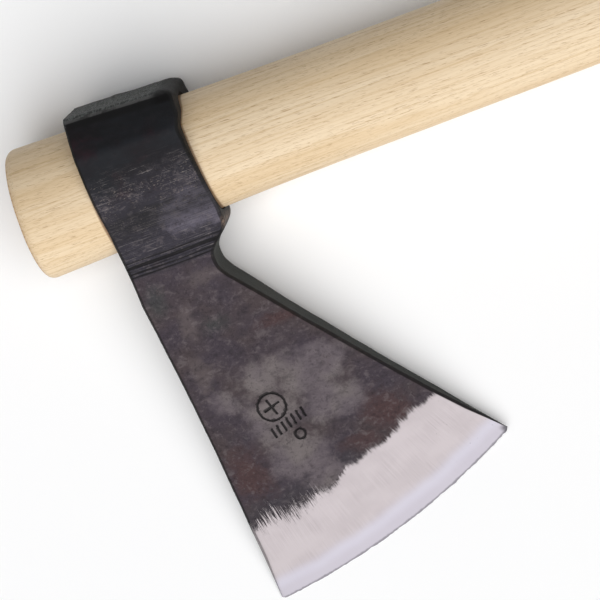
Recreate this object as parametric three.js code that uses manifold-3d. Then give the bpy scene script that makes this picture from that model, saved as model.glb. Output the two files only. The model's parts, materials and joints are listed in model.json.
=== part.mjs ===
// A slip-fit axe: one forged head with a flared blade, on one straight beech handle.
//
// The axe is drawn in its own frame and then laid on the floor. In its own frame +X runs along the handle
// towards the grip, +Y points to the poll, the cutting edge is towards -Y, and +Z is the head's thickness.
// x = 0 is the head's grip side and y = 0 is the handle's axis. Sizes are in millimetres.

import * as THREE from 'three';
import { mergeVertices } from 'three/addons/utils/BufferGeometryUtils.js';
import Module from 'manifold-3d';

const wasm = await Module();
wasm.setup();

// Driving dimensions of the head.
const eyeLength = 44.6;         // from the toe side to the grip side, along the handle
const pollHeight = 29.4;        // from the handle's axis to the middle of the poll
const pollSlant = 0.044;        // the poll drops towards the grip by this share, each way from its middle
const pollCorner = 4;           // rounding of the poll's corner over the grip
const cheekHalf = 24.5;         // half of the thickness over the eye
const chamfer = 1.3;            // broken corners along the toe and grip sides
const rootY = -46.1;            // where the blade's straight sides start, below the neck
const rootX = -8.9;             // the grip side of the blade there
const toe = new THREE.Vector2(-38.2, -173.9);
const heel = new THREE.Vector2(67.4, -139.6);
const sideHollow = 1.1;         // how far the blade's toe and grip sides bow in
const edgeBow = 5.3;            // how far the cutting edge bows out from the line from toe to heel
const edgeHalf = 0.15;          // half of the thickness left at the cutting edge
const bevelWidth = 30;          // the ground band along the edge
const honedWidth = 8;           // the steeper honed band at the very edge

// Driving dimensions of the handle.
const handleTop = -74.5;        // the end that stands proud of the toe side
const handleButt = 525.5;       // the grip's end
const ovalDepth = 0.8;          // the handle's depth as a share of its height
const fitGap = 0.3;             // clearance between the handle and the eye
const rimRound = 4;             // rounding of the handle's two ends
const eyeFlare = 1;             // chamfer of the eye's toe-side mouth

// How finely the two solids are faceted.
const headColumns = 16;
const headLayers = 6;
const cornerSteps = 6;
const lipSteps = 18;
const bladeSteps = 10;
const eyeSegments = 56;
const handleSegments = 48;
const handlePieces = 30;
const rimSteps = 5;
const curveSteps = 400;
const settlingTurns = 8;

// Height above the axis of the handle's oval, from the jammed top end to the butt's swell.
const handleStations = [
  [handleTop, 25.7],
  [-eyeLength, 24.7],
  [0, 22.5],
  [145, 21],
  [330, 18.9],
  [440, 17.8],
  [490, 17.9],
  [handleButt, 18.7],
];

// Half of the head's thickness from the poll down to the blade's root, with a flat land on each cheek.
const cheekStations = [
  [pollHeight, 14.5],
  [pollHeight - 0.8, 17.2],
  [pollHeight - 2.6, 19],
  [pollHeight - 6, 20.8],
  [19, 22.8],
  [14, cheekHalf],
  [7, cheekHalf],
  [0, 23],
  [-8.3, 20.2],
  [-20, 14.4],
  [-27, 12],
  [-36, 10.4],
  [rootY, 9.5],
];

// The grip side of the head, from the poll down round the lip under the eye and into the neck.
const gripSide = new THREE.SplineCurve([
  new THREE.Vector2(-0.4, -23),
  new THREE.Vector2(-2.2, -26.9),
  new THREE.Vector2(-5.2, -30),
  new THREE.Vector2(-9.2, -33.2),
  new THREE.Vector2(-11.6, -37.6),
  new THREE.Vector2(-11.2, -42),
  new THREE.Vector2(rootX, rootY),
]);

// Levels of the rows between the poll's rounded corner and the lip under the eye.
const blockLevels = [22, 20, 18.5, 17, 15.5, 14, 10, 7, 3, 0, -4, -8.3, -12, -16, -20];

// How far the eye's grip side is cut back between the poll's ear and the lip, against the level.
const hollowStations = [
  [pollHeight, 1.9],
  [24, 2.6],
  [20, 2.4],
  [17, 3.2],
  [14, 4],
  [10, 3.7],
  [0, 3.1],
  [-18, 2.4],
  [-23, 2.2],
  [-27, 0.8],
  [-32, 0],
];

// Half of the blade's thickness against the share of the way from its root to the cutting edge.
const bladeLength = 124;
const flatShare = 0.7;
const bladeStations = [
  [0, 9.5],
  [0.15, 7.9],
  [0.35, 6.4],
  [0.55, 5.4],
  [1 - bevelWidth / bladeLength, 4.4],
  [1 - honedWidth / bladeLength, 1.2],
  [1, edgeHalf],
];

const beech = new THREE.MeshStandardMaterial({ color: 0xe1c8a5, roughness: 0.55, metalness: 0 });
const forgedSteel = new THREE.MeshStandardMaterial({ color: 0x453d42, roughness: 0.6, metalness: 0.85 });

// Reads a list of [place, value] stations at one place, with straight lines between them.
function along(stations, place) {
  const rising = stations[1][0] > stations[0][0];
  const next = stations.findIndex(([at]) => (rising ? at >= place : at <= place));
  if (next <= 0) {
    return next === 0 ? stations[0][1] : stations.at(-1)[1];
  }
  const [from, low] = stations[next - 1];
  const [to, high] = stations[next];
  return low + ((high - low) * (place - from)) / (to - from);
}

// A smooth curve through the stations, for shapes without corners.
function smoothCurve(stations) {
  return new THREE.SplineCurve(stations.map(([place, value]) => new THREE.Vector2(place, value)));
}

// A closed solid of revolution about X with an oval section, from a profile of (radius, x) points.
function ovalTurning(profile, segments) {
  const turned = new THREE.LatheGeometry(profile, segments);
  turned.rotateZ(-Math.PI / 2);
  turned.scale(1, 1, ovalDepth);
  return turned;
}

function toManifold(geometry) {
  const bare = geometry.clone();
  bare.deleteAttribute('normal');
  bare.deleteAttribute('uv');
  const welded = mergeVertices(bare, 1e-4);
  return new wasm.Manifold(new wasm.Mesh({
    numProp: 3,
    vertProperties: new Float32Array(welded.attributes.position.array),
    triVerts: new Uint32Array(welded.index.array),
  }));
}

function fromManifold(solid) {
  const mesh = solid.getMesh();
  const geometry = new THREE.BufferGeometry();
  geometry.setAttribute('position', new THREE.BufferAttribute(mesh.vertProperties, 3));
  geometry.setIndex(new THREE.BufferAttribute(mesh.triVerts, 1));
  return geometry;
}

// The bowed cutting edge, as an arc from the toe (share 0) to the heel (share 1).
function edgePoint(share) {
  const chord = heel.clone().sub(toe);
  const half = chord.length() / 2;
  const radius = (half ** 2 + edgeBow ** 2) / (2 * edgeBow);
  const outward = new THREE.Vector2(chord.y, -chord.x).normalize();
  const centre = toe.clone().add(heel).multiplyScalar(0.5).addScaledVector(outward, edgeBow - radius);
  const sweep = 2 * Math.asin(half / radius);
  const middle = outward.angle();
  const angle = middle + sweep * (share - 0.5);
  return new THREE.Vector2(Math.cos(angle), Math.sin(angle)).multiplyScalar(radius).add(centre);
}

// The poll's slant, as a share of the height above the handle's axis.
function pollLift(x, y) {
  return y > 0 ? 1 - pollSlant * (1 + (2 * x) / eyeLength) : 1;
}

// How far the poll's rounded corner pulls the grip side in, at one level.
function pollCornerPull(level) {
  const rise = Math.max(0, level - (pollHeight - pollCorner));
  return Math.sqrt(Math.max(0, pollCorner ** 2 - rise ** 2)) - pollCorner;
}

// The rows of the head's outline: each has a toe side point, a grip side point and a half thickness.
// Rows of the block are level; rows of the blade fan out to the bowed edge.
function blockRows() {
  const levels = [];
  for (let step = 0; step <= cornerSteps; step += 1) {
    const turn = (Math.PI / 2) * (step / cornerSteps);
    levels.push(pollHeight - pollCorner * (1 - Math.cos(turn)));
  }
  levels.push(...blockLevels);
  const rows = levels.map((level) => ({ grip: pollCornerPull(level), level }));
  for (let step = 0; step <= lipSteps; step += 1) {
    const point = gripSide.getPoint(step / lipSteps);
    rows.push({ grip: point.x, level: point.y });
  }
  return rows.map(({ grip, level }) => ({
    half: along(cheekStations, level),
    at: (across) => new THREE.Vector2(-eyeLength + (grip + eyeLength) * across, level),
    width: grip + eyeLength,
    hollow: along(hollowStations, level),
  }));
}

function bladeRows() {
  const shares = Array.from({ length: bladeSteps }, (_, step) => (flatShare * (step + 1)) / bladeSteps);
  const ground = bladeStations.slice(-3).map(([share]) => share);
  return [...shares, ...ground].map((share) => ({
    half: along(bladeStations, share),
    at: (across) => {
      const root = new THREE.Vector2(-eyeLength + (rootX + eyeLength) * across, rootY);
      const point = root.lerp(edgePoint(across), share);
      point.x += sideHollow * Math.sin(Math.PI * share) * (1 - 2 * across);
      return point;
    },
    width: (rootX + eyeLength) * (1 - share) + toe.distanceTo(heel) * share,
    hollow: 0,
  }));
}

// The whole head without its eye: a grid of rows and columns bent onto the outline.
function headBlank() {
  const rows = [...blockRows(), ...bladeRows()];
  const blank = new THREE.BoxGeometry(1, 1, 1, headColumns, rows.length - 1, headLayers);
  const position = blank.attributes.position;
  for (let i = 0; i < position.count; i += 1) {
    const row = rows[Math.round((0.5 - position.getY(i)) * (rows.length - 1))];
    const column = Math.round((position.getX(i) + 0.5) * headColumns);
    const broken = Math.min(chamfer, row.half / 2);
    const inset = broken / row.width;
    const inner = inset + ((1 - 2 * inset) * (column - 1)) / (headColumns - 2);
    const onSide = column === 0 || column === headColumns;
    const across = onSide ? column / headColumns : inner;
    const point = row.at(across);
    const half = onSide ? row.half - broken : row.half;
    const z = 2 * half * position.getZ(i);
    const x = point.x - row.hollow * across;
    position.setXYZ(i, x, point.y * pollLift(x, point.y), z);
  }
  return blank;
}

const handleCurve = smoothCurve(handleStations);

// The handle's height above its axis at x, read from the smooth curve.
function handleRadius(x) {
  const points = handleCurve.getPoints(curveSteps).map((point) => [point.x, point.y]);
  return along(points, x);
}

// A tapered oval cutter that follows the handle, with a chamfer at the eye's toe-side mouth.
function eyeCutter() {
  const reach = 6;
  const grown = (x) => handleRadius(x) + fitGap;
  const profile = [
    new THREE.Vector2(0, -eyeLength - reach),
    new THREE.Vector2(grown(-eyeLength) + eyeFlare + reach, -eyeLength - reach),
    new THREE.Vector2(grown(-eyeLength) + eyeFlare, -eyeLength),
    new THREE.Vector2(grown(-eyeLength + eyeFlare), -eyeLength + eyeFlare),
    new THREE.Vector2(grown(-eyeLength / 2), -eyeLength / 2),
    new THREE.Vector2(grown(0), 0),
    new THREE.Vector2(grown(0), reach),
    new THREE.Vector2(0, reach),
  ];
  return ovalTurning(profile, eyeSegments);
}

function headGeometry() {
  return fromManifold(toManifold(headBlank()).subtract(toManifold(eyeCutter())));
}

// A rounded rim as (radius, x) points from the end face out to the side. inward is +1 or -1 along X.
function rimArc(end, inward) {
  const full = handleRadius(end + inward * rimRound);
  return Array.from({ length: rimSteps + 1 }, (_, step) => {
    const turn = (Math.PI / 2) * (step / rimSteps);
    const radius = full - rimRound * (1 - Math.sin(turn));
    return new THREE.Vector2(radius, end + inward * rimRound * (1 - Math.cos(turn)));
  });
}

// The handle is turned from its flat top to its flat butt, with both rims rounded.
function handleGeometry() {
  const stretch = handleButt - handleTop - 2 * rimRound;
  const side = [];
  for (let step = 1; step < handlePieces; step += 1) {
    const x = handleTop + rimRound + (stretch * step) / handlePieces;
    side.push(new THREE.Vector2(handleRadius(x), x));
  }
  const profile = [
    new THREE.Vector2(0, handleTop),
    ...rimArc(handleTop, 1),
    ...side,
    ...rimArc(handleButt, -1).reverse(),
    new THREE.Vector2(0, handleButt),
  ];
  return ovalTurning(profile, handleSegments);
}

// The lowest point of a mesh's part, with up as the upward direction.
function lowest(mesh, up, belongs) {
  const position = mesh.geometry.attributes.position;
  const point = new THREE.Vector3();
  let found = null;
  for (let i = 0; i < position.count; i += 1) {
    point.fromBufferAttribute(position, i);
    if (belongs(point) && (found === null || point.dot(up) < found.dot(up))) {
      found = point.clone();
    }
  }
  return found;
}

// The upward direction when the axe lies on its cheek, the toe of its edge and the handle's butt.
function restingUp(head, handle) {
  let up = new THREE.Vector3(0, 0, 1);
  for (let turn = 0; turn < settlingTurns; turn += 1) {
    const cheek = lowest(head, up, (point) => point.y > rootY);
    const edge = lowest(head, up, (point) => point.y < heel.y);
    const butt = lowest(handle, up, (point) => point.x > handleButt / 2);
    up = new THREE.Plane().setFromCoplanarPoints(cheek, edge, butt).normal;
    if (up.z < 0) {
      up.negate();
    }
  }
  return up;
}

const head = new THREE.Mesh(headGeometry(), forgedSteel);
head.name = 'axe_head';

const handle = new THREE.Mesh(handleGeometry(), beech);
handle.name = 'handle';

const axe = new THREE.Group();
axe.add(head, handle);
axe.quaternion.setFromUnitVectors(restingUp(head, handle), new THREE.Vector3(0, 0, 1));
axe.updateMatrixWorld(true);

// The origin is the middle of the footprint, on the floor.
const box = new THREE.Box3().setFromObject(axe, true);
const middle = box.getCenter(new THREE.Vector3());
axe.position.set(-middle.x, -middle.y, -box.min.z);

export default axe;
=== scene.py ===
"""A slip-fit axe lying on a pale floor: a forged head with a ground edge, on an oval beech handle.

Shapes are drawn in the axe's own frame, in metres: +X along the handle towards the grip, +Y to the poll, the
cutting edge towards -Y, +Z the thickness, x = 0 at the head's grip side and y = 0 on the handle's axis.
"""

import json
import math

import bpy
import numpy as np
from mathutils import Matrix, Vector, noise
from mathutils.bvhtree import BVHTree


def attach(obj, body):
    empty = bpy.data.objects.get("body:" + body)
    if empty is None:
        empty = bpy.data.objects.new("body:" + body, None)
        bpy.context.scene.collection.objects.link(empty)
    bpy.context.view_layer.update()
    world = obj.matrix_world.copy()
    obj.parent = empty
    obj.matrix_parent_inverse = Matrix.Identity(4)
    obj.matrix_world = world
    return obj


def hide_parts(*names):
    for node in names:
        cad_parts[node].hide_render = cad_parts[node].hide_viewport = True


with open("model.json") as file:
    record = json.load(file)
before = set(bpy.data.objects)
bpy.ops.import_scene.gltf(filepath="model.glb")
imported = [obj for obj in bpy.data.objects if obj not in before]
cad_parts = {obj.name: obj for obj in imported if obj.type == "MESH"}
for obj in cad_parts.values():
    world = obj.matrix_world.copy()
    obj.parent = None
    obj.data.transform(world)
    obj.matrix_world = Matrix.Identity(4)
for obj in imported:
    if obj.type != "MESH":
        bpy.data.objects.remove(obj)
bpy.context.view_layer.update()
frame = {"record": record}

MM = 0.001

# Head, as in the CAD model. ROOT is where the blade's grip side starts, TOE and HEEL are its edge's ends.
EYE_LENGTH = 44.6 * MM
POLL_HEIGHT = 29.4 * MM
POLL_SLANT = 0.044
POLL_CORNER = 4 * MM
CHAMFER = 1.3 * MM
ROOT = Vector((-8.9, -46.1)) * MM
TOE = Vector((-38.2, -173.9)) * MM
HEEL = Vector((67.4, -139.6)) * MM
SIDE_HOLLOW = 1.1 * MM
EDGE_BOW = 5.3 * MM
BEVEL_WIDTH = 30 * MM
HONED_WIDTH = 8 * MM

# Handle, as in the CAD model.
HANDLE_TOP = -74.5 * MM
HANDLE_BUTT = 525.5 * MM
OVAL_DEPTH = 0.8
FIT_GAP = 0.3 * MM
HANDLE_RIM = 4 * MM
TOP_CUT_SHIFT = 0.2 * MM
TOP_CUT_SLOPE = 0.04
SHAVING_HEIGHT = 0.1 * MM

# Curves through stations, in mm. HANDLE is the handle's half height along it. CHEEK, LIP and HOLLOW belong to
# levels of the head's block: its half thickness, where its grip side is and how far that side is cut back.
# BLADE is the blade's half thickness by share of the way to the cutting edge.
HANDLE_STATIONS = [
    (-74.5, 25.7), (-44.6, 24.7), (0, 22.5), (145, 21), (330, 18.9), (440, 17.8), (490, 17.9), (525.5, 18.7),
]
CHEEK_STATIONS = [
    (-46.1, 9.5), (-36, 10.4), (-27, 12), (-20, 14.4), (-8.3, 20.2), (0, 23), (7, 24.5), (14, 24.5),
    (19, 22.8), (23.4, 20.8), (26.8, 19), (28.6, 17.2), (29.4, 14.5),
]
LIP_STATIONS = [
    (-46.1, -8.9), (-42, -11.2), (-37.6, -11.6), (-33.2, -9.2), (-30, -5.2), (-26.9, -2.2), (-23, -0.4),
    (-19, 0), (30, 0),
]
HOLLOW_STATIONS = [
    (-32, 0), (-27, 0.8), (-23, 2.2), (-18, 2.4), (0, 3.1), (10, 3.7), (14, 4), (17, 3.2), (20, 2.4),
    (24, 2.6), (29.4, 1.9),
]
BLADE_STATIONS = [(0, 9.5), (0.15, 7.9), (0.35, 6.4), (0.55, 5.4), (0.758, 4.4), (0.935, 1.2), (1, 0.15)]

# Lines across the neck: place, half width and depth, in mm.
NECK_LINES = [
    (-29.0, 0.36, 0.24), (-31.0, 0.55, 0.46), (-32.3, 0.3, 0.2), (-33.5, 0.38, 0.3), (-34.9, 0.4, 0.28),
]

# Unevenness of the forged faces, and wear along the cutting edge: size of the lumps, height and noise seed.
FORGE_LUMPS = [((16, 13, 22), 0.22, 1), ((4.2, 3.1, 4), 0.07, 2), ((1.5, 1.2, 1.5), 0.03, 3)]
EDGE_LUMPS = [(3, 0.3, 6), (0.9, 0.24, 7)]
EDGE_WORN_BACK = 0.4 * MM
EDGE_WEAR_WIDTH = 2.2 * MM
POLL_DENTS = 1.2
SHARP_CORNER = math.radians(35)

# The mark on the cheek is a plain one: a ring round a cross, a row of strokes and a small ring.
MARK_PLACE = Vector((-10.9, -103.4)) * MM
MARK_TURN = math.radians(18)
MARK_STROKE = 0.36 * MM
MARK_SCALE = 1.18


def mm(*values):
    """The values in metres."""
    return tuple(value * MM for value in values)


def smooth_read(stations, places):
    """Values of a smooth curve through (place, value) stations, both in the stations' own units."""
    xs, ys = np.array(stations, float).T
    slopes = np.diff(ys) / np.diff(xs)
    tangents = np.concatenate([[slopes[0]], (slopes[:-1] + slopes[1:]) / 2, [slopes[-1]]])
    tangents[1:-1][slopes[:-1] * slopes[1:] <= 0] = 0
    places = np.clip(places, xs[0], xs[-1])
    span = np.clip(np.searchsorted(xs, places, side="right") - 1, 0, len(xs) - 2)
    width = xs[span + 1] - xs[span]
    t = (places - xs[span]) / width
    return (
        ys[span] * (2 * t**3 - 3 * t**2 + 1)
        + tangents[span] * width * (t**3 - 2 * t**2 + t)
        + ys[span + 1] * (3 * t**2 - 2 * t**3)
        + tangents[span + 1] * width * (t**3 - t**2)
    )


def step(low, high, values):
    """A smooth step from 0 at low to 1 at high."""
    t = np.clip((values - low) / (high - low), 0, 1)
    return t * t * (3 - 2 * t)


def noise_at(points, scale, seed):
    """Perlin noise, about -1 to 1, at each point. scale is the size of its lumps on each axis.

    Each seed reads another part of the noise.
    """
    offset = Vector((seed * 17.3, seed * 5.1, seed * 9.7))
    scaled = points / np.array(scale)
    return np.array([noise.noise(Vector(p) + offset) for p in scaled])


def axe_frame():
    """The axe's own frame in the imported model's frame, read from the record's mounts."""
    mounts = {m["name"]: m for m in frame["record"]["mounts"]}
    top = Vector(mounts["top_face"]["pos_m"])
    x_axis = (Vector(mounts["butt_face"]["pos_m"]) - top).normalized()
    z_axis = Vector(mounts["upper_cheek"]["axis"])
    y_axis = z_axis.cross(x_axis).normalized()
    z_axis = x_axis.cross(y_axis)
    matrix = Matrix((x_axis, y_axis, z_axis)).transposed().to_4x4()
    matrix.translation = top - x_axis * HANDLE_TOP
    return matrix


AXE = axe_frame()


def new_object(name, mesh):
    piece = bpy.data.objects.new(name, mesh)
    bpy.context.scene.collection.objects.link(piece)
    return piece


def mesh_from(name, points, faces):
    mesh = bpy.data.meshes.new(name)
    mesh.from_pydata([tuple(p) for p in points], [], faces)
    mesh.validate()
    return mesh


def points_of(mesh):
    flat = np.empty(len(mesh.vertices) * 3)
    mesh.vertices.foreach_get("co", flat)
    return flat.reshape(-1, 3)


def move_points(mesh, points):
    mesh.vertices.foreach_set("co", np.asarray(points, float).reshape(-1))
    mesh.update()


def write_vectors(mesh, name, values):
    layer = mesh.attributes.new(name, "FLOAT_VECTOR", "POINT")
    layer.data.foreach_set("vector", np.asarray(values, float).reshape(-1))


def vertex_normals(mesh):
    flat = np.empty(len(mesh.vertices) * 3)
    mesh.vertex_normals.foreach_get("vector", flat)
    return flat.reshape(-1, 3)


def tube_quads(rings, segments):
    """The quads between neighbouring rings of points that are numbered ring by ring."""
    faces = []
    for ring in range(rings - 1):
        for s in range(segments):
            a = ring * segments + s
            b = ring * segments + (s + 1) % segments
            faces.append((a, b, b + segments, a + segments))
    return faces


# Head


def grip_hollow(y):
    """How far the eye's grip side is cut back at y, near x = 0."""
    level = np.where(y > 0, y / (1 - POLL_SLANT), y)
    return smooth_read(HOLLOW_STATIONS, level / MM) * MM


def box_shell(columns, rows, layers):
    """The surface of a box as lattice points (column, row, layer) and outward quads."""
    index = {}
    points = []

    def at(i, j, k):
        key = (i, j, k)
        if key not in index:
            index[key] = len(points)
            points.append(key)
        return index[key]

    faces = []
    for i in range(columns):
        for j in range(rows):
            top = [(i, j, layers), (i, j + 1, layers), (i + 1, j + 1, layers), (i + 1, j, layers)]
            faces.append(tuple(at(*corner) for corner in top))
            faces.append((at(i, j, 0), at(i + 1, j, 0), at(i + 1, j + 1, 0), at(i, j + 1, 0)))
    for k in range(layers):
        for j in range(rows):
            faces.append((at(0, j, k), at(0, j + 1, k), at(0, j + 1, k + 1), at(0, j, k + 1)))
            far = [(columns, j, k), (columns, j, k + 1), (columns, j + 1, k + 1), (columns, j + 1, k)]
            faces.append(tuple(at(*corner) for corner in far))
        for i in range(columns):
            faces.append((at(i, 0, k), at(i, 0, k + 1), at(i + 1, 0, k + 1), at(i + 1, 0, k)))
            faces.append((at(i, rows, k), at(i + 1, rows, k), at(i + 1, rows, k + 1), at(i, rows, k + 1)))
    return np.array(points), faces


def edge_circle():
    """Centre, radius, middle angle and sweep of the bowed cutting edge."""
    chord = HEEL - TOE
    half = chord.length / 2
    radius = (half**2 + EDGE_BOW**2) / (2 * EDGE_BOW)
    outward = Vector((chord.y, -chord.x)).normalized()
    centre = (TOE + HEEL) / 2 + outward * (EDGE_BOW - radius)
    return centre, radius, math.atan2(outward.y, outward.x), 2 * math.asin(half / radius)


EDGE_CENTRE, EDGE_RADIUS, EDGE_MIDDLE, EDGE_SWEEP = edge_circle()


def spread(stops):
    """Places from (place, steps to the next place) stops."""
    places = []
    for (here, steps), (there, _) in zip(stops[:-1], stops[1:]):
        places.extend(np.linspace(here, there, steps, endpoint=False))
    return np.array(places + [stops[-1][0]])


def head_points(lattice, columns, layers, levels, shares):
    """Places each lattice point of the head's shell. Rows run down the block, then out along the blade."""
    i, j, k = lattice.T
    in_block = j < len(levels)
    level = levels[np.minimum(j, len(levels) - 1)]
    share = shares[np.clip(j - len(levels), 0, len(shares) - 1)]

    grip = smooth_read(LIP_STATIONS, level / MM) * MM
    rise = np.maximum(0, level - (POLL_HEIGHT - POLL_CORNER))
    grip = grip + np.sqrt(np.maximum(0, POLL_CORNER**2 - rise**2)) - POLL_CORNER
    blade_width = (ROOT.x + EYE_LENGTH) * (1 - share) + (HEEL - TOE).length * share
    width = np.where(in_block, grip + EYE_LENGTH, blade_width)
    half = np.where(
        in_block,
        smooth_read(CHEEK_STATIONS, level / MM) * MM,
        np.interp(share, *np.array(BLADE_STATIONS).T) * MM,
    )

    # Columns are close together at the two sides, where the corner is broken by a rounded chamfer.
    corner_columns = 5
    corner_curve = 1.6
    chamfer = np.minimum(CHAMFER, half / 2)
    near = np.minimum(i, columns - i)
    inset = chamfer * np.minimum(near, corner_columns) / corner_columns
    middle = (i - corner_columns) / (columns - 2 * corner_columns)
    across = np.where(
        near < corner_columns,
        np.where(i < columns / 2, inset / width, 1 - inset / width),
        chamfer / width + middle * (1 - 2 * chamfer / width),
    )
    drop = chamfer * (1 - np.minimum(near, corner_columns) / corner_columns) ** corner_curve
    z = (half - drop) * (2 * k / layers - 1)

    angle = EDGE_MIDDLE + EDGE_SWEEP * (across - 0.5)
    edge_x = EDGE_CENTRE.x + EDGE_RADIUS * np.cos(angle)
    edge_y = EDGE_CENTRE.y + EDGE_RADIUS * np.sin(angle)
    root_x = -EYE_LENGTH + (ROOT.x + EYE_LENGTH) * across
    blade_x = root_x * (1 - share) + edge_x * share + SIDE_HOLLOW * np.sin(np.pi * share) * (1 - 2 * across)
    blade_y = ROOT.y * (1 - share) + edge_y * share
    x = np.where(in_block, -EYE_LENGTH + (grip + EYE_LENGTH) * across, blade_x)
    y = np.where(in_block, level, blade_y)

    x = x - smooth_read(HOLLOW_STATIONS, level / MM) * MM * across
    y = np.where(y > 0, y * (1 - POLL_SLANT * (1 + 2 * x / EYE_LENGTH)), y)
    return np.stack([x, y, z], axis=1)


def edge_coordinates(points):
    """For each point: the length along the cutting edge from its middle, and the distance in from it."""
    from_centre = points[:, :2] - np.array(EDGE_CENTRE)
    reach = np.hypot(*from_centre.T)
    angle = np.arctan2(from_centre[:, 1], from_centre[:, 0]) - EDGE_MIDDLE
    return angle * EDGE_RADIUS, EDGE_RADIUS - reach


def neck_lines(points, normals):
    """Depth of the lines set in across the neck when the blade was drawn out from the eye."""
    on_cheek = step(0.5, 0.7, np.abs(normals[:, 2]))
    wander = 0.3 * MM * noise_at(points * [1, 0, 0], (14 * MM, 1, 1), 4)
    depths = 0
    for level, width, depth in NECK_LINES:
        off = (points[:, 1] + wander - level * MM) / (width * MM)
        fade = 0.75 + 0.25 * noise_at(points, mm(7, 50, 50), 5 - level)
        depths = depths + on_cheek * fade * depth * MM * np.exp(-(off**2))
    return depths


def forge_surface(points, normals):
    """Moves the blank's points: hammer marks and scale, the lines set in across the neck, a worn edge."""
    along_edge, from_edge = edge_coordinates(points)
    scale_side = step(BEVEL_WIDTH - 2 * MM, BEVEL_WIDTH + 3 * MM, from_edge)
    amount = sum(height * MM * noise_at(points, mm(*sizes), seed) for sizes, height, seed in FORGE_LUMPS)
    on_poll = step(POLL_HEIGHT - 6 * MM, POLL_HEIGHT - 1 * MM, points[:, 1])
    amount = amount * scale_side * (1 + POLL_DENTS * on_poll) - neck_lines(points, normals)
    moved = points + normals * amount[:, None]

    # Small nicks and a slight waviness along the cutting edge itself.
    at_edge = 1 - step(0, EDGE_WEAR_WIDTH, from_edge)
    along = np.stack([along_edge, 0 * along_edge, 0 * along_edge], axis=1)
    wear = sum(height * MM * noise_at(along, (size * MM, 1, 1), seed) for size, height, seed in EDGE_LUMPS)
    angle = EDGE_MIDDLE + along_edge / EDGE_RADIUS
    inward = -np.stack([np.cos(angle), np.sin(angle)], 1)
    moved[:, :2] += inward * (at_edge * (wear - EDGE_WORN_BACK))[:, None]

    # The two corners of the cutting edge are worn round.
    corner_reach, corner_radius = mm(1.5, 2.5)
    past_corner = np.abs(along_edge) - (EDGE_SWEEP * EDGE_RADIUS / 2 - corner_reach)
    rounding = np.maximum(0, past_corner) ** 2 / corner_radius
    moved[:, :2] += inward * (at_edge * rounding)[:, None]
    return moved


def eye_cutter():
    """A closed oval cone along X that follows the handle, with a rounded flare at each mouth."""
    segments = 160
    flare_steps = 7
    cone_steps = 12
    flare = 1.1 * MM
    flare_curve = 1.5
    reach = 6 * MM

    def grown(x):
        return smooth_read(HANDLE_STATIONS, np.array([x / MM]))[0] * MM + FIT_GAP

    profile = [(-EYE_LENGTH - reach, grown(-EYE_LENGTH) + flare)]
    for turn in np.linspace(0, math.pi / 2, flare_steps):
        x = -EYE_LENGTH + flare * math.sin(turn)
        profile.append((x, grown(x) + flare * (1 - math.sin(turn)) ** flare_curve))
    for x in np.linspace(-EYE_LENGTH + 2 * flare, -2 * flare, cone_steps):
        profile.append((x, grown(x)))
    for turn in np.linspace(math.pi / 2, 0, flare_steps):
        x = -flare * math.sin(turn)
        profile.append((x, grown(0) + flare * (1 - math.sin(turn)) ** flare_curve))
    profile.append((reach, grown(0) + flare))

    points = []
    for x, radius in profile:
        for turn in np.arange(segments) * 2 * math.pi / segments:
            y = radius * math.cos(turn)
            hollow = float(grip_hollow(np.array(y))) if x > -EYE_LENGTH / 2 else 0
            points.append((x - hollow, y, OVAL_DEPTH * radius * math.sin(turn)))
    faces = tube_quads(len(profile), segments)
    faces.append(tuple(reversed(range(segments))))
    last = (len(profile) - 1) * segments
    faces.append(tuple(range(last, last + segments)))
    return mesh_from("eye_cutter", points, faces)


def mark_paths():
    """The strokes of the mark as point lists in its own plane, each open or closed."""
    ring_points = 40
    ring_x, ring_y, ring_radius = mm(-1, 3.4, 4.6)
    small_x, small_y, small_radius = mm(0.6, -9.2, 1.7)
    cross_reach = 2.9
    row_reach, row_y, row_count = 6, -4 * MM, 7
    stroke_reach, stroke_lean = 1.7, 0.15

    ring = [(math.cos(t), math.sin(t)) for t in np.arange(ring_points) * 2 * math.pi / ring_points]
    paths = [([(ring_x + ring_radius * c, ring_y + ring_radius * s) for c, s in ring], True)]
    paths.append(([(small_x + small_radius * c, small_y + small_radius * s) for c, s in ring[::2]], True))
    for turn in (0.0, math.pi / 2):
        reach = np.linspace(-cross_reach, cross_reach, 9) * MM
        paths.append(([(ring_x + r * math.cos(turn), ring_y + r * math.sin(turn)) for r in reach], False))
    for across in np.linspace(-row_reach, row_reach, row_count) * MM:
        reach = np.linspace(-stroke_reach, stroke_reach, 6) * MM
        paths.append(([(across + stroke_lean * r, row_y + r) for r in reach], False))
    return paths


def stroke_cutter(path, closed, surface):
    """A thin round tube that runs along the cheek's surface, to be cut from it."""
    turned = Matrix.Rotation(MARK_TURN, 2)
    above = 100 * MM
    upward = Vector((0, 0, 1))
    centres = []
    for point in path:
        place = MARK_PLACE + MARK_SCALE * (turned @ Vector(point))
        hit = surface.ray_cast(Vector((*place, above)), -upward)[0]
        centres.append(hit)
    count = len(centres)
    sides = 10
    points = []
    for index, centre in enumerate(centres):
        before = centres[index - 1] if closed or index > 0 else centre
        after = centres[(index + 1) % count] if closed or index < count - 1 else centre
        ahead = (after - before).normalized()
        aside = ahead.cross(upward).normalized()
        for turn in np.arange(sides) * 2 * math.pi / sides:
            points.append(centre + MARK_STROKE * (aside * math.cos(turn) + upward * math.sin(turn)))
    faces = []
    for index in range(count if closed else count - 1):
        for s in range(sides):
            a = index * sides + s
            b = index * sides + (s + 1) % sides
            over = (index + 1) % count * sides
            faces.append((a, over + s, over + (s + 1) % sides, b))
    if not closed:
        faces.append(tuple(range(sides)))
        faces.append(tuple(reversed(range((count - 1) * sides, count * sides))))
    return mesh_from("stroke", points, faces)


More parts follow.
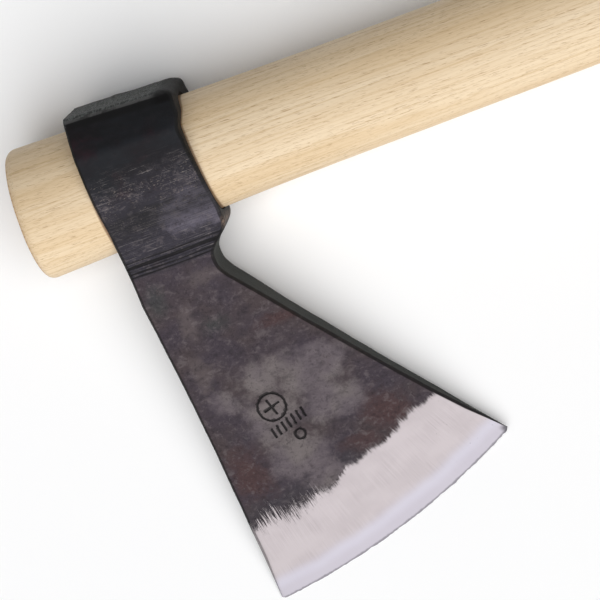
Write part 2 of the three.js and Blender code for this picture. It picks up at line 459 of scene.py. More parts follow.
def cut_away(piece, cutters):
    """The mesh of a piece after the closed cutter meshes have been taken from it."""
    made = []
    for mesh in cutters:
        cutter = new_object("cutter", mesh)
        cut = piece.modifiers.new("cut", "BOOLEAN")
        cut.operation = "DIFFERENCE"
        cut.solver = "EXACT"
        cut.object = cutter
        made.append(cutter)
    bpy.context.view_layer.update()
    mesh = bpy.data.meshes.new_from_object(piece.evaluated_get(bpy.context.evaluated_depsgraph_get()))
    for cutter in made:
        bpy.data.objects.remove(cutter)
    bpy.data.objects.remove(piece)
    return mesh


def joined(meshes):
    """One mesh that holds several separate closed ones."""
    points, faces = [], []
    for mesh in meshes:
        start = len(points)
        points.extend(v.co.copy() for v in mesh.vertices)
        faces.extend(tuple(start + i for i in face.vertices) for face in mesh.polygons)
    return mesh_from("joined", points, faces)


def head_mesh():
    """The head with its eye and its mark cut, and the uncut blank's surface."""

    # Rows are close together where there is detail.
    levels = spread(
        [
            (POLL_HEIGHT, 3), (POLL_HEIGHT - 0.35 * MM, 6), (POLL_HEIGHT - POLL_CORNER, 26), (8 * MM, 40),
            (-27 * MM, 36), (-37 * MM, 12), (ROOT.y, 0),
        ]
    )
    shares = spread([(0.006, 100), (0.755, 3), (0.762, 20), (0.93, 3), (0.94, 8), (1, 0)])
    columns, layers = 112, 14
    lattice, faces = box_shell(columns, len(levels) + len(shares) - 1, layers)
    blank = mesh_from("axe_head_blank", head_points(lattice, columns, layers, levels, shares), faces)
    points = forge_surface(points_of(blank), vertex_normals(blank))
    move_points(blank, points)

    surface = BVHTree.FromPolygons([Vector(p) for p in points], [tuple(f.vertices) for f in blank.polygons])

    # The cross's two bars meet, so each is a cutter of its own.
    strokes = [stroke_cutter(path, closed, surface) for path, closed in mark_paths()]
    rings, bars, row = strokes[:2], strokes[2:4], strokes[4:]
    cutters = [eye_cutter(), joined(rings + row), *(joined([bar]) for bar in bars)]
    return cut_away(new_object("head_blank", blank), cutters), surface


def make_head():
    mesh, surface = head_mesh()
    mesh.name = "forged_head"
    points = points_of(mesh)
    write_vectors(mesh, "local", points)
    along_edge, from_edge = edge_coordinates(points)
    write_vectors(mesh, "edge", np.stack([along_edge, from_edge, 0 * from_edge], axis=1))
    normals = vertex_normals(mesh)
    write_vectors(mesh, "facing", normals)
    cut_depth = np.array([surface.find_nearest(Vector(p))[3] for p in points])
    lines = neck_lines(points, normals)
    deepest_mark = 1 * MM
    write_vectors(mesh, "sunk", np.stack([np.minimum(cut_depth, deepest_mark), lines, 0 * lines], axis=1))
    mesh.transform(AXE)
    mesh.shade_smooth()
    mesh.set_sharp_from_angle(angle=SHARP_CORNER)
    piece = new_object("forged_head", mesh)
    mesh.materials.clear()
    mesh.materials.append(steel_material())
    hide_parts("axe_head")
    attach(piece, "head")


# Handle


def handle_blank():
    """The handle's oval turning with rounded rims and closed ends."""
    segments = 160
    end_rings = 10
    places = spread(
        [
            (HANDLE_TOP, 14), (HANDLE_TOP + HANDLE_RIM, 60), (2 * MM, 190), (HANDLE_BUTT - 60 * MM, 30),
            (HANDLE_BUTT - HANDLE_RIM, 12), (HANDLE_BUTT, 0),
        ]
    )
    radius = smooth_read(HANDLE_STATIONS, places / MM) * MM
    for from_end in (places - HANDLE_TOP, HANDLE_BUTT - places):
        into = np.clip(1 - from_end / HANDLE_RIM, 0, 1)
        radius = radius - HANDLE_RIM * (1 - np.sqrt(1 - into**2))
    turns = np.arange(segments) * 2 * math.pi / segments
    x = np.repeat(places, segments)
    y = np.outer(radius, np.cos(turns)).ravel()
    z = np.outer(radius, np.sin(turns)).ravel() * OVAL_DEPTH
    points = np.stack([x, y, z], axis=1)
    faces = tube_quads(len(places), segments)

    # Smaller and smaller rings and a middle point close each end.
    last_ring = (len(places) - 1) * segments
    for ring_start, end_x, outward in ((0, HANDLE_TOP, -1), (last_ring, HANDLE_BUTT, 1)):
        edge = points[ring_start : ring_start + segments]
        previous = list(range(ring_start, ring_start + segments))
        for inner in range(1, end_rings):
            start = len(points)
            points = np.vstack([points, edge * [1, 1 - inner / end_rings, 1 - inner / end_rings]])
            current = list(range(start, start + segments))
            for s in range(segments):
                a, b = previous[s], previous[(s + 1) % segments]
                c, d = current[(s + 1) % segments], current[s]
                faces.append((a, d, c, b) if outward < 0 else (a, b, c, d))
            previous = current
        points = np.vstack([points, [[end_x, 0, 0]]])
        hub = len(points) - 1
        for s in range(segments):
            a, b = previous[s], previous[(s + 1) % segments]
            faces.append((a, hub, b) if outward < 0 else (a, b, hub))
    return mesh_from("beech_handle", points, faces)


def make_handle():
    """The handle with its shaving marks and its slightly slanted top cut."""
    mesh = handle_blank()
    points = points_of(mesh)
    normals = vertex_normals(mesh)
    waves = noise_at(points, mm(60, 9, 9), 11) * SHAVING_HEIGHT
    outside_eye = step(1 * MM, 8 * MM, points[:, 0])
    outside_eye = outside_eye + step(EYE_LENGTH + 1 * MM, EYE_LENGTH + 6 * MM, -points[:, 0])
    shaved = points + normals * (waves * outside_eye)[:, None]

    # The top end was sawn a little out of square: it is longest on the side towards the cutting edge.
    cut_reach = 22 * MM
    near_top = 1 - step(HANDLE_TOP, HANDLE_TOP + cut_reach, points[:, 0])
    shaved[:, 0] += near_top * (TOP_CUT_SHIFT + TOP_CUT_SLOPE * points[:, 1])
    move_points(mesh, shaved)

    write_vectors(mesh, "local", points)
    write_vectors(mesh, "facing", normals)
    past_mouth = np.maximum(points[:, 0] + grip_hollow(points[:, 1]), -EYE_LENGTH - points[:, 0])
    write_vectors(mesh, "mouth", np.stack([past_mouth, 0 * past_mouth, 0 * past_mouth], axis=1))
    mesh.transform(AXE)
    mesh.shade_smooth()
    piece = new_object("beech_handle", mesh)
    mesh.materials.append(beech_material())
    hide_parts("handle")
    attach(piece, "handle")


# Materials


class Nodes:
    """Short ways to add and join shader nodes in one material."""

    def __init__(self, name):
        self.material = bpy.data.materials.new(name)
        self.material.use_nodes = True
        self.tree = self.material.node_tree
        self.shader = self.tree.nodes["Principled BSDF"]

    def join(self, value, socket):
        if isinstance(value, bpy.types.NodeSocket):
            self.tree.links.new(value, socket)
        else:
            socket.default_value = value

    def attribute(self, name):
        node = self.tree.nodes.new("ShaderNodeAttribute")
        node.attribute_name = name
        return node.outputs["Vector"]

    def part(self, vector, axis):
        node = self.tree.nodes.new("ShaderNodeSeparateXYZ")
        self.join(vector, node.inputs[0])
        return node.outputs[axis]

    def scaled(self, vector, sizes):
        """The vector counted in lumps of the given sizes, in metres."""
        node = self.tree.nodes.new("ShaderNodeVectorMath")
        node.operation = "DIVIDE"
        self.join(vector, node.inputs[0])
        node.inputs[1].default_value = sizes
        return node.outputs[0]

    def math(self, operation, a, b=0.0, c=0.0, clamp=False):
        node = self.tree.nodes.new("ShaderNodeMath")
        node.operation = operation
        node.use_clamp = clamp
        for value, socket in zip((a, b, c), node.inputs):
            self.join(value, socket)
        return node.outputs[0]

    def plus(self, a, b):
        return self.math("ADD", a, b)

    def times(self, a, b):
        return self.math("MULTIPLY", a, b)

    def turned(self, vector, degrees):
        """The vector turned about Z."""
        node = self.tree.nodes.new("ShaderNodeVectorRotate")
        node.rotation_type = "Z_AXIS"
        self.join(vector, node.inputs["Vector"])
        node.inputs["Angle"].default_value = math.radians(degrees)
        return node.outputs["Vector"]

    def oval(self, vector, centre, half_sizes):
        """1 in the middle of an oval in the XY plane, 0 at its rim and less beyond."""
        moved = self.tree.nodes.new("ShaderNodeVectorMath")
        moved.operation = "SUBTRACT"
        self.join(vector, moved.inputs[0])
        moved.inputs[1].default_value = (*centre, 0)
        length = self.tree.nodes.new("ShaderNodeVectorMath")
        length.operation = "LENGTH"
        self.join(self.scaled(moved.outputs[0], (*half_sizes, 1e3)), length.inputs[0])
        return self.math("SUBTRACT", 1.0, length.outputs["Value"])

    def noise(self, vector, sizes, detail=3.0, roughness=0.55, distortion=0.0):
        node = self.tree.nodes.new("ShaderNodeTexNoise")
        self.join(self.scaled(vector, sizes), node.inputs["Vector"])
        node.inputs["Scale"].default_value = 1.0
        node.inputs["Detail"].default_value = detail
        node.inputs["Roughness"].default_value = roughness
        node.inputs["Distortion"].default_value = distortion
        return node.outputs["Fac"]

    def ramp(self, value, low, high):
        """0 below low and 1 above high, smooth between. low may be the larger."""
        node = self.tree.nodes.new("ShaderNodeMapRange")
        node.interpolation_type = "SMOOTHSTEP"
        self.join(value, node.inputs["Value"])
        flipped = low > high
        node.inputs["From Min"].default_value = high if flipped else low
        node.inputs["From Max"].default_value = low if flipped else high
        node.inputs["To Min"].default_value = 1.0 if flipped else 0.0
        node.inputs["To Max"].default_value = 0.0 if flipped else 1.0
        return node.outputs["Result"]

    def mix(self, factor, a, b):
        """Colour a where factor is 0, colour b where it is 1. Plain colours are sRGB, 0 to 255."""
        node = self.tree.nodes.new("ShaderNodeMix")
        node.data_type = "RGBA"
        self.join(factor, node.inputs["Factor"])
        self.join(linear(a), node.inputs["A"])
        self.join(linear(b), node.inputs["B"])
        return node.outputs["Result"]

    def over(self, colour, factor, top, amount=1.0):
        """The colour with a top colour laid over it by factor, and by amount at most."""
        if amount < 1.0:
            factor = self.times(factor, amount)
        return self.mix(factor, colour, top)

    def blend_values(self, factor, a, b):
        node = self.tree.nodes.new("ShaderNodeMix")
        node.data_type = "FLOAT"
        self.join(factor, node.inputs["Factor"])
        self.join(a, node.inputs["A"])
        self.join(b, node.inputs["B"])
        return node.outputs["Result"]

    def bump(self, height, depth, normal=None):
        """A bump whose height, 0 to 1, stands for depth in metres."""
        node = self.tree.nodes.new("ShaderNodeBump")
        node.inputs["Strength"].default_value = 1.0
        node.inputs["Distance"].default_value = depth
        self.join(height, node.inputs["Height"])
        if normal is not None:
            self.join(normal, node.inputs["Normal"])
        return node.outputs["Normal"]


def linear(colour):
    """A plain sRGB colour, 0 to 255, as linear RGBA. A node's output passes through."""
    if isinstance(colour, bpy.types.NodeSocket):
        return colour
    parts = [c / 255 for c in colour]
    return [p / 12.92 if p <= 0.04045 else ((p + 0.055) / 1.055) ** 2.4 for p in parts] + [1.0]


# Plain colours, sRGB, 0 to 255.
PALE_BEECH = (222, 202, 172)
WARM_BEECH = (214, 190, 155)
STREAK_BEECH = (196, 168, 128)
FLECK_BEECH = (152, 117, 78)
END_BEECH = (205, 172, 130)
END_RING = (164, 124, 84)
END_PORE = (150, 112, 74)
EYE_MOUTH_BROWN = (96, 56, 27)

SCALE_PURPLE = (59, 51, 59)
SCALE_WARM = (66, 56, 58)
SCALE_GREEN = (58, 60, 60)
SCALE_BROWN = (68, 49, 50)
SCALE_SLATE = (54, 50, 56)
SCALE_TAN = (92, 82, 82)
WORN_GREYS = (92, 83, 88), (104, 96, 96)
SMUDGES = (34, 30, 34), (122, 113, 114)
FLECKS = (30, 26, 29), (120, 112, 112)
PIT = (22, 19, 22)

EYE_BLACKS = (20, 18, 23), (38, 20, 27)
EYE_BLUE_BLACK = (23, 25, 30)
NECK_GREYS = (44, 41, 49), (54, 51, 60)
NECK_HIGHLIGHT = (97, 92, 104)
NECK_WARM = (66, 60, 66)
FINE_LINES = (22, 20, 25), (118, 112, 112)
RUBBED_SPECK = (128, 118, 112)

SHADED_SIDE_GREENS = (25, 27, 25), (46, 49, 46)
SHADED_SIDE_BLACK = (19, 17, 18)
CORNER_SHADE = (15, 15, 14)
POLL_GREYS = (17, 18, 18), (88, 92, 90)
POLL_RIM_HIGHLIGHT = (96, 95, 95)
POLL_BLACK_END = (7, 6, 7)
CHIP_BROWNS = (128, 110, 98), (52, 46, 46)
NOTCH_SHADE = (18, 15, 17)
CUT_SHADE = (12, 10, 12)

GROUND_GREYS = (144, 137, 139), (159, 152, 154)
GROUND_SOFT = (162, 155, 157)
HONED_BLUE = (156, 153, 163)
HONED_HIGHLIGHT = (172, 170, 182)
GROUND_PIT = (70, 66, 68)
LIP_GREY = (92, 90, 94)
HEEL_GREY = (58, 57, 60)

FLOOR_GREYS = (246, 246, 247), (250, 250, 250)

# Where the forge scale on the cheeks is worn to grey or has changed colour: centre and half sizes in mm.
WORN_PATCHES = [
    (5, -91, 24, 14), (-14, -89, 15, 13), (-15, -105, 17, 14), (9, -105, 17, 13), (-10, -121, 16, 15),
    (-29, -93, 8, 8), (-2, -133, 18, 6),
]
TAN_PATCHES = [(-19, -43, 11, 6), (-31, -58, 6, 10), (-34, -78, 5, 10)]
BROWN_PATCHES = [
    (-31, -122, 12, 20), (27, -116, 17, 14), (14, -125, 13, 7), (-18, -87, 5, 3), (2, -68, 14, 5),
]
GREEN_PATCHES = [(-39, -48, 7, 13), (-22, -62, 9, 7), (42, -126, 9, 6)]
# The neck patch marks a painted highlight.
NECK_HIGHLIGHT_PATCH = (-8, -17, 18, 9)
CHIPPED_PATCH = (-2, -27, 7, 7)
# The notch patch marks painted shade.
NOTCH_SHADE_PATCH = (-7, -31, 5, 4)


class SteelNodes(Nodes):
    """The head's material: the measures and noises that its layers share, then the layers of colour."""

    def __init__(self):
        super().__init__("forged_steel")
        self.local = self.attribute("local")
        self.edge = self.attribute("edge")
        self.facing = self.math("ABSOLUTE", self.part(self.attribute("facing"), "Z"))
        self.x, self.y = self.part(self.local, "X"), self.part(self.local, "Y")
        self.along, self.deep = self.part(self.edge, "X"), self.part(self.edge, "Y")

        # The level is y with the poll's slant taken out.
        drop = POLL_HEIGHT * POLL_SLANT
        self.level = self.plus(self.y, self.math("MULTIPLY_ADD", self.x, 2 * drop / EYE_LENGTH, drop))

        # Noises from broad clouds to grit, the fine lines along the handle and the lines that grinding drew.
        self.cloud = self.noise(self.local, mm(13, 12, 30), 6, 0.65)
        self.speckle = self.noise(self.local, mm(1.7, 1.7, 1.7), 5, 0.7)
        self.grit = self.noise(self.local, mm(0.42, 0.42, 0.42), 2, 0.6)
        self.tint = self.noise(self.local, mm(20, 17, 40), 3, 0.5)
        self.line = self.noise(self.local, mm(14, 0.3, 5), 3, 0.7)
        self.drag = self.edge_noise(0.2, 14, 4, 0.65)

        # About -1 to 1, to fray the edge of a patch or a band.
        fraying = self.plus(self.times(self.cloud, 1.7), self.times(self.speckle, 0.8))
        self.fraying = self.math("SUBTRACT", fraying, 1.25)
        self.worn = self.patches(WORN_PATCHES, 0.16, 0.6)

        hatch = self.noise(self.turned(self.local, 14), mm(0.42, 6, 4), 4, 0.75)
        self.struck = self.plus(self.times(hatch, 0.6), self.times(self.speckle, 0.4))
        poll_edge = self.plus(self.level, self.times(self.speckle, 0.8 * MM))
        self.on_poll = self.ramp(poll_edge, 28.8 * MM, 29.3 * MM)
        self.above_grooves = self.ramp(self.frayed(self.y, 2 * MM), -37 * MM, -34 * MM)
        self.on_cheek = self.times(self.ramp(self.y, 12 * MM, 3 * MM), self.above_grooves)
        self.wander = self.math("SUBTRACT", self.edge_noise(15, 60, 2, 0.5), 0.5)

    def edge_noise(self, along, across, detail, roughness):
        """Noise in lumps of the given sizes, in mm, along the cutting edge and away from it."""
        return self.noise(self.edge, (*mm(along, across), 1.0), detail, roughness)

    def frayed(self, value, amount):
        return self.plus(value, self.times(self.fraying, amount))

    def patch(self, place):
        """1 in the middle of one patch, 0 at its rim and less beyond."""
        return self.oval(self.local, mm(*place[:2]), mm(*place[2:]))

    def patches(self, places, low, high):
        """How far a point is inside any of the patches, whose rims are frayed."""
        nearest = 0.0
        for place in places:
            nearest = self.math("MAXIMUM", nearest, self.patch(place))
        return self.ramp(self.plus(nearest, self.fraying), low, high)

    def blade_scale(self):
        """Forge scale on the blade: purple-black, brown and green-black, worn grey in the middle."""
        colour = self.mix(self.ramp(self.tint, 0.35, 0.65), SCALE_PURPLE, SCALE_WARM)
        colour = self.over(colour, self.patches(GREEN_PATCHES, 0.1, 0.9), SCALE_GREEN, 0.7)
        colour = self.over(colour, self.patches(BROWN_PATCHES, 0.1, 0.9), SCALE_BROWN)
        slate = self.ramp(self.frayed(self.deep, 6 * MM), BEVEL_WIDTH + 11 * MM, BEVEL_WIDTH + 4 * MM)
        slate = self.times(slate, self.ramp(self.along, 20 * MM, -5 * MM))
        colour = self.over(colour, slate, SCALE_SLATE, 0.7)
        colour = self.over(colour, self.worn, self.mix(self.ramp(self.tint, 0.4, 0.6), *WORN_GREYS))
        return self.over(colour, self.patches(TAN_PATCHES, 0.1, 0.7), SCALE_TAN, 0.6)

    def eye_scale(self):
        """Nearly black over the eye, with faint red and blue, and smoother and bluer at the neck, with a
        painted highlight where the neck slopes.
        """
        black = self.mix(self.ramp(self.cloud, 0.5, 0.66), *EYE_BLACKS)
        black = self.mix(self.ramp(self.tint, 0.55, 0.4), EYE_BLUE_BLACK, black)
        neck = self.mix(self.ramp(self.speckle, 0.35, 0.65), *NECK_GREYS)
        # A lavender painted highlight where the neck slopes down towards the blade.
        neck_highlight = self.plus(self.patch(NECK_HIGHLIGHT_PATCH), self.fraying)
        neck = self.over(neck, self.ramp(neck_highlight, -0.2, 0.4), NECK_HIGHLIGHT, 0.95)
        neck = self.mix(self.ramp(self.cloud, 0.56, 0.64), neck, NECK_WARM)
        return self.over(neck, self.ramp(self.frayed(self.y, 12 * MM), -9 * MM, 7 * MM), black)

    def add_fine_lines(self, colour):
        """Fine lines along the handle on the cheek and the neck, with rubbed specks among them."""
        dark_line, light_line = FINE_LINES
        rubbed = self.ramp(self.noise(self.local, mm(9, 5, 12), 4, 0.6), 0.4, 0.56)
        dark = self.times(self.ramp(self.line, 0.47, 0.38), self.on_cheek)
        colour = self.over(colour, dark, dark_line, 0.5)
        light = self.times(self.times(self.ramp(self.line, 0.57, 0.66), self.on_cheek), rubbed)
        colour = self.over(colour, light, light_line, 0.75)
        speck = self.noise(self.local, mm(0.9, 0.55, 0.9), 3, 0.75)
        speck = self.times(self.ramp(speck, 0.58, 0.66), rubbed)
        near_eye = self.times(self.ramp(self.y, -20 * MM, -14 * MM), self.ramp(self.y, 8 * MM, 1 * MM))
        return self.over(colour, self.times(speck, near_eye), RUBBED_SPECK, 0.8)

    def add_mottling(self, colour):
        """Dark and pale smudges and flecks, and a few dark pits."""
        smudge = self.noise(self.local, mm(4.5, 3.2, 5), 5, 0.68, 0.5)
        below_eye = self.ramp(self.y, 9 * MM, -3 * MM)
        (dark_smudge, pale_smudge), (dark_fleck, pale_fleck) = SMUDGES, FLECKS
        colour = self.over(colour, self.ramp(smudge, 0.5, 0.66), dark_smudge, 0.35)
        colour = self.over(colour, self.times(self.ramp(smudge, 0.47, 0.33), below_eye), pale_smudge, 0.26)
        colour = self.over(colour, self.ramp(self.speckle, 0.53, 0.66), dark_fleck, 0.42)
        pale = self.times(self.ramp(self.speckle, 0.44, 0.32), below_eye)
        colour = self.over(colour, pale, pale_fleck, 0.2)
        return self.over(colour, self.ramp(self.grit, 0.6, 0.76), PIT, 0.5)

    def add_sides_and_poll(self, colour):
        """Green-black sides darkened as painted shade, blackest beside the eye, painted shade on the
        chamfers, the rough grey poll with a painted highlight along its rim, the chipped ear and a
        painted-shade notch.
        """
        # Painted shade: the side faces are coloured darker than the cheeks by which way they face, and
        # blackest beside the eye.
        side = self.mix(self.ramp(self.speckle, 0.35, 0.65), *SHADED_SIDE_GREENS)
        not_eye = self.ramp(self.y, -24 * MM, -30 * MM)
        not_eye = self.math("MAXIMUM", not_eye, self.ramp(self.level, 27.8 * MM, 28.6 * MM))
        side = self.mix(not_eye, SHADED_SIDE_BLACK, side)
        colour = self.over(colour, self.ramp(self.facing, 0.6, 0.3), side)
        colour = self.over(colour, self.on_poll, self.mix(self.ramp(self.struck, 0.44, 0.58), *POLL_GREYS))
        # Painted shade on the chamfers between the cheeks and the sides, weaker on the poll.
        corner = self.times(self.ramp(self.facing, 0.2, 0.5), self.ramp(self.facing, 0.96, 0.85))
        corner = self.times(corner, self.math("SUBTRACT", 0.75, self.times(self.on_poll, 0.6)))
        colour = self.over(colour, corner, CORNER_SHADE)

        # A painted highlight along the poll's rounded rim, broken in places.
        rim = self.ramp(self.level, 27.7 * MM, 28.2 * MM)
        rim = self.times(rim, self.ramp(self.level, 29 * MM, 28.6 * MM))
        broken = self.plus(0.3, self.ramp(self.cloud, 0.42, 0.56))
        colour = self.over(colour, self.math("MULTIPLY", rim, broken, clamp=True), POLL_RIM_HIGHLIGHT, 0.6)
        from_grip = self.frayed(self.x, 4 * MM)
        black_end = self.ramp(from_grip, -11 * MM, -6.5 * MM)
        black_end = self.times(black_end, self.ramp(from_grip, -0.5 * MM, -2.5 * MM))
        black_end = self.times(black_end, self.ramp(self.level, 24.5 * MM, 26 * MM))
        colour = self.over(colour, black_end, POLL_BLACK_END, 0.95)

        chipped = self.ramp(self.plus(self.patch(CHIPPED_PATCH), self.fraying), 0.35, 0.8)
        chipped = self.times(chipped, self.ramp(self.facing, 0.97, 0.85))
        chip = self.mix(self.ramp(self.speckle, 0.42, 0.56), *CHIP_BROWNS)
        colour = self.over(colour, chipped, chip, 0.75)
        # Painted shade on the notch facet where the eye's block steps in to the blade.
        notch_shade = self.plus(self.patch(NOTCH_SHADE_PATCH), self.fraying)
        return self.over(colour, self.ramp(notch_shade, 0.2, 0.6), NOTCH_SHADE, 0.8)

    def ground_band(self):
        """Where the bevel is ground: a ragged start that the stone drew in from the edge."""
        spikes = self.math("SUBTRACT", self.edge_noise(0.36, 14, 4, 0.78), 0.5)
        longer = self.times(self.ramp(self.along, -8 * MM, -26 * MM), 25 * MM)
        start = self.plus(self.deep, self.times(spikes, self.plus(11 * MM, longer)))
        start = self.plus(start, self.times(self.wander, 13 * MM))
        ground = self.ramp(start, BEVEL_WIDTH + 1.4 * MM, BEVEL_WIDTH + 0.4 * MM)
        flat = self.plus(self.facing, self.times(self.ramp(self.along, 10 * MM, -10 * MM), 0.42))
        flat = self.math("MAXIMUM", self.ramp(flat, 0.78, 0.92), self.ramp(self.deep, 2 * MM, 1 * MM))
        return self.times(ground, flat)

    def ground_colour(self):
        """Bright steel: the honed band with a painted highlight along it, a few pits, the edge's worn lip and
        a dark spot at its heel.
        """
        bright = self.mix(self.ramp(self.drag, 0.3, 0.7), *GROUND_GREYS)
        soft_patch = self.edge_noise(16, 9, 2, 0.5)
        bright = self.over(bright, self.ramp(soft_patch, 0.35, 0.65), GROUND_SOFT, 0.5)
        faded = self.plus(self.deep, self.times(self.wander, 3 * MM))
        honed = self.ramp(faded, HONED_WIDTH + 3 * MM, HONED_WIDTH - 2.6 * MM)
        bright = self.over(bright, honed, HONED_BLUE, 0.7)
        # A painted highlight along the middle of the honed band.
        streak = self.times(self.ramp(faded, 9.5 * MM, 6 * MM), self.ramp(faded, 2.5 * MM, 6 * MM))
        bright = self.over(bright, streak, HONED_HIGHLIGHT, 0.3)
        pits = self.edge_noise(0.7, 0.7, 1, 0.5)
        pits = self.times(self.ramp(pits, 0.74, 0.79), self.ramp(self.along, 20 * MM, 45 * MM))
        bright = self.over(bright, pits, GROUND_PIT, 0.8)
        uneven = self.times(self.math("SUBTRACT", self.speckle, 0.5), 1.2 * MM)
        from_lip = self.plus(self.deep, uneven)
        bright = self.over(bright, self.ramp(from_lip, 0.6 * MM, 0 * MM), LIP_GREY, 0.7)
        heel = self.times(self.ramp(self.along, 52.5 * MM, 55 * MM), self.ramp(from_lip, 3.5 * MM, 1 * MM))
        return self.over(bright, heel, HEEL_GREY, 0.8)


def steel_material():
    n = SteelNodes()
    colour = n.mix(n.above_grooves, n.blade_scale(), n.eye_scale())
    colour = n.add_mottling(n.add_fine_lines(colour))
    colour = n.add_sides_and_poll(colour)
    ground = n.ground_band()
    colour = n.over(colour, ground, n.ground_colour())
    # Painted shade darkens the stamped mark and the lines across the neck by their depth.
    sunk = n.attribute("sunk")
    in_cut = n.ramp(n.part(sunk, "X"), 0.03 * MM, 0.2 * MM)
    in_line = n.ramp(n.part(sunk, "Y"), 0.07 * MM, 0.17 * MM)
    colour = n.over(colour, n.math("MAXIMUM", in_cut, in_line), CUT_SHADE, 0.85)
    n.join(colour, n.shader.inputs["Base Color"])

    rough = n.plus(0.5, n.times(n.speckle, 0.28))
    rough = n.math("SUBTRACT", rough, n.times(n.worn, 0.06))
    rough_ground = n.plus(0.36, n.times(n.drag, 0.14))
    n.join(n.blend_values(ground, rough, rough_ground), n.shader.inputs["Roughness"])
    n.join(n.blend_values(ground, 0.0, 0.95), n.shader.inputs["Metallic"])
    n.shader.inputs["Specular IOR Level"].default_value = 0.18

    not_ground = n.math("SUBTRACT", 1.0, ground)
    normal = n.bump(n.times(n.speckle, not_ground), 0.09 * MM)
    normal = n.bump(n.times(n.grit, not_ground), 0.05 * MM, normal)
    normal = n.bump(n.times(n.line, n.on_cheek), 0.08 * MM, normal)
    normal = n.bump(n.times(n.struck, n.on_poll), 0.15 * MM, normal)
    normal = n.bump(n.times(n.drag, ground), 0.012 * MM, normal)
    n.join(normal, n.shader.inputs["Normal"])
    return n.material


def beech_material():
    n = Nodes("beech")
    local = n.attribute("local")
    end_grain = n.ramp(n.math("ABSOLUTE", n.part(n.attribute("facing"), "X")), 0.55, 0.85)

    figure = n.noise(local, mm(150, 9, 9), 3, 0.5, 0.2)
    streak = n.noise(local, mm(90, 0.95, 0.95), 2, 0.55)
    pores = n.noise(local, mm(16, 0.3, 0.3), 2, 0.5)
    colour = n.mix(n.ramp(figure, 0.38, 0.64), PALE_BEECH, WARM_BEECH)
    colour = n.over(colour, n.ramp(streak, 0.5, 0.68), STREAK_BEECH, 0.4)
    colour = n.over(colour, n.ramp(pores, 0.5, 0.75), STREAK_BEECH, 0.3)
    fleck = n.noise(n.turned(local, 4), mm(3.6, 0.22, 0.22), 1, 0.4)
    in_streak = n.plus(0.5, n.ramp(streak, 0.4, 0.65))
    flecks = n.math("MULTIPLY", n.ramp(fleck, 0.6, 0.68), in_streak, clamp=True)
    colour = n.over(colour, flecks, FLECK_BEECH, 0.62)
    layer = n.plus(n.math("DIVIDE", n.part(local, "Y"), 1.9 * MM), n.times(figure, 7.0))
    layer = n.plus(n.math("FRACT", layer), n.times(n.math("SUBTRACT", streak, 0.5), 0.8))
    colour = n.over(colour, n.ramp(layer, 0.5, 1.05), STREAK_BEECH, 0.42)

    # The two ends show the growth rings, about a centre beside the handle, and drink more of the finish.
    from_centre = n.oval(local, mm(0, 31), (1e3, 62 * MM))
    rings = n.math("FRACT", n.plus(n.times(from_centre, 26.0), n.times(figure, 1.2)))
    ends = n.mix(n.ramp(rings, 0.55, 1.0), END_BEECH, END_RING)
    ends = n.over(ends, n.ramp(pores, 0.5, 0.7), END_PORE, 0.5)
    colour = n.over(colour, end_grain, ends)

    # A thin brown line where the wood enters and leaves the eye.
    past_mouth = n.part(n.attribute("mouth"), "X")
    at_eye = n.times(n.ramp(past_mouth, 0.9 * MM, 0.1 * MM), n.ramp(past_mouth, -1.6 * MM, -0.8 * MM))
    colour = n.over(colour, at_eye, EYE_MOUTH_BROWN, 0.75)
    n.join(colour, n.shader.inputs["Base Color"])
    n.join(n.plus(0.48, n.times(streak, 0.16)), n.shader.inputs["Roughness"])
    n.shader.inputs["Specular IOR Level"].default_value = 0.35
    normal = n.bump(pores, 0.02 * MM)
    normal = n.bump(flecks, -0.012 * MM, normal)
    n.join(normal, n.shader.inputs["Normal"])
    return n.material


def floor_material():
    n = Nodes("pale_floor")
    everywhere = n.tree.nodes.new("ShaderNodeTexCoord").outputs["Object"]
    n.join(n.mix(n.noise(everywhere, (0.5, 0.5, 0.5), 2, 0.5), *FLOOR_GREYS), n.shader.inputs["Base Color"])
    n.shader.inputs["Roughness"].default_value = 0.9
    return n.material


# Camera, light and floor

CAMERA_DISTANCE = 1.108
TILT_TO_GRIP = math.radians(8.93)
TILT_TO_POLL = math.radians(10.43)
CAMERA_ROLL = math.radians(19.99)
CAMERA_LENS = 176.0
SENSOR_WIDTH = 36.0
CAMERA_REACH = 20
AIM = Vector((11.0, -66.0, 0.0)) * MM

KEY_POWER = 3.6
KEY_ANGLE = 90
KEY_TILT = 30
KEY_ASIDE = 0.12
SKY_LIGHT = 0.05
HORIZON_LIGHT = 0.96
HORIZON_BAND = (0.08, 0.14)
FLOOR_HALF = 12.0
FLOOR_DROP = 0.3 * MM


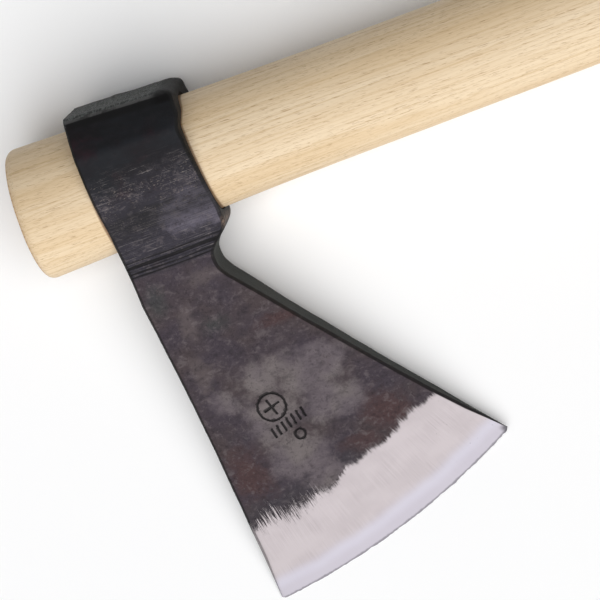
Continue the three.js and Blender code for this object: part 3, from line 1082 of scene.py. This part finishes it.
def make_camera():
    """Looks at the upper cheek side from a little towards the grip and the poll."""
    towards = Vector((math.tan(TILT_TO_GRIP), math.tan(TILT_TO_POLL), 1)).normalized()
    place = AIM + towards * CAMERA_DISTANCE
    flat_right = (Vector((1, 0, 0)) - towards * towards.x).normalized()
    flat_up = towards.cross(flat_right)
    right = flat_right * math.cos(CAMERA_ROLL) - flat_up * math.sin(CAMERA_ROLL)
    up = towards.cross(right)
    turned = Matrix((right, up, towards)).transposed().to_4x4()
    turned.translation = place
    data = bpy.data.cameras.new("camera")
    data.sensor_width = SENSOR_WIDTH
    data.lens = CAMERA_LENS
    data.clip_end = CAMERA_REACH
    camera = bpy.data.objects.new("camera", data)
    camera.matrix_world = AXE @ turned
    bpy.context.scene.collection.objects.link(camera)
    bpy.context.scene.camera = camera


def make_studio():
    """One very broad light from above and the edge side, a pale surround and a pale floor."""
    data = bpy.data.lights.new("softbox", "SUN")
    data.energy = KEY_POWER
    data.angle = math.radians(KEY_ANGLE)
    lamp = bpy.data.objects.new("softbox", data)
    tilt = math.radians(KEY_TILT)
    towards = Vector((KEY_ASIDE, -math.sin(tilt), math.cos(tilt)))
    lamp.rotation_euler = towards.to_track_quat("Z", "Y").to_euler()
    lamp.location = towards
    bpy.context.scene.collection.objects.link(lamp)

    world = bpy.data.worlds.new("studio")
    world.use_nodes = True
    tree = world.node_tree
    direction = tree.nodes.new("ShaderNodeTexCoord").outputs["Generated"]
    height = tree.nodes.new("ShaderNodeSeparateXYZ")
    tree.links.new(direction, height.inputs[0])
    band = tree.nodes.new("ShaderNodeMapRange")
    band.inputs["From Min"].default_value, band.inputs["From Max"].default_value = HORIZON_BAND
    band.inputs["To Min"].default_value = HORIZON_LIGHT
    band.inputs["To Max"].default_value = SKY_LIGHT
    tree.links.new(height.outputs["Z"], band.inputs["Value"])
    tree.links.new(band.outputs["Result"], tree.nodes["Background"].inputs["Strength"])
    tree.nodes["Background"].inputs["Color"].default_value = (1, 1, 1, 1)
    bpy.context.scene.world = world
    bpy.context.scene.view_settings.view_transform = "Standard"

    steps = 8
    places = [FLOOR_HALF * (2 * i / steps - 1) for i in range(steps + 1)]
    points = [(x, y, 0) for y in places for x in places]
    faces = []
    for j in range(steps):
        for i in range(steps):
            a = j * (steps + 1) + i
            faces.append((a, a + 1, a + steps + 2, a + steps + 1))
    floor = new_object("floor", mesh_from("floor", points, faces))
    floor.location.z = -FLOOR_DROP
    floor.data.materials.append(floor_material())


make_camera()
make_head()
make_handle()
make_studio()
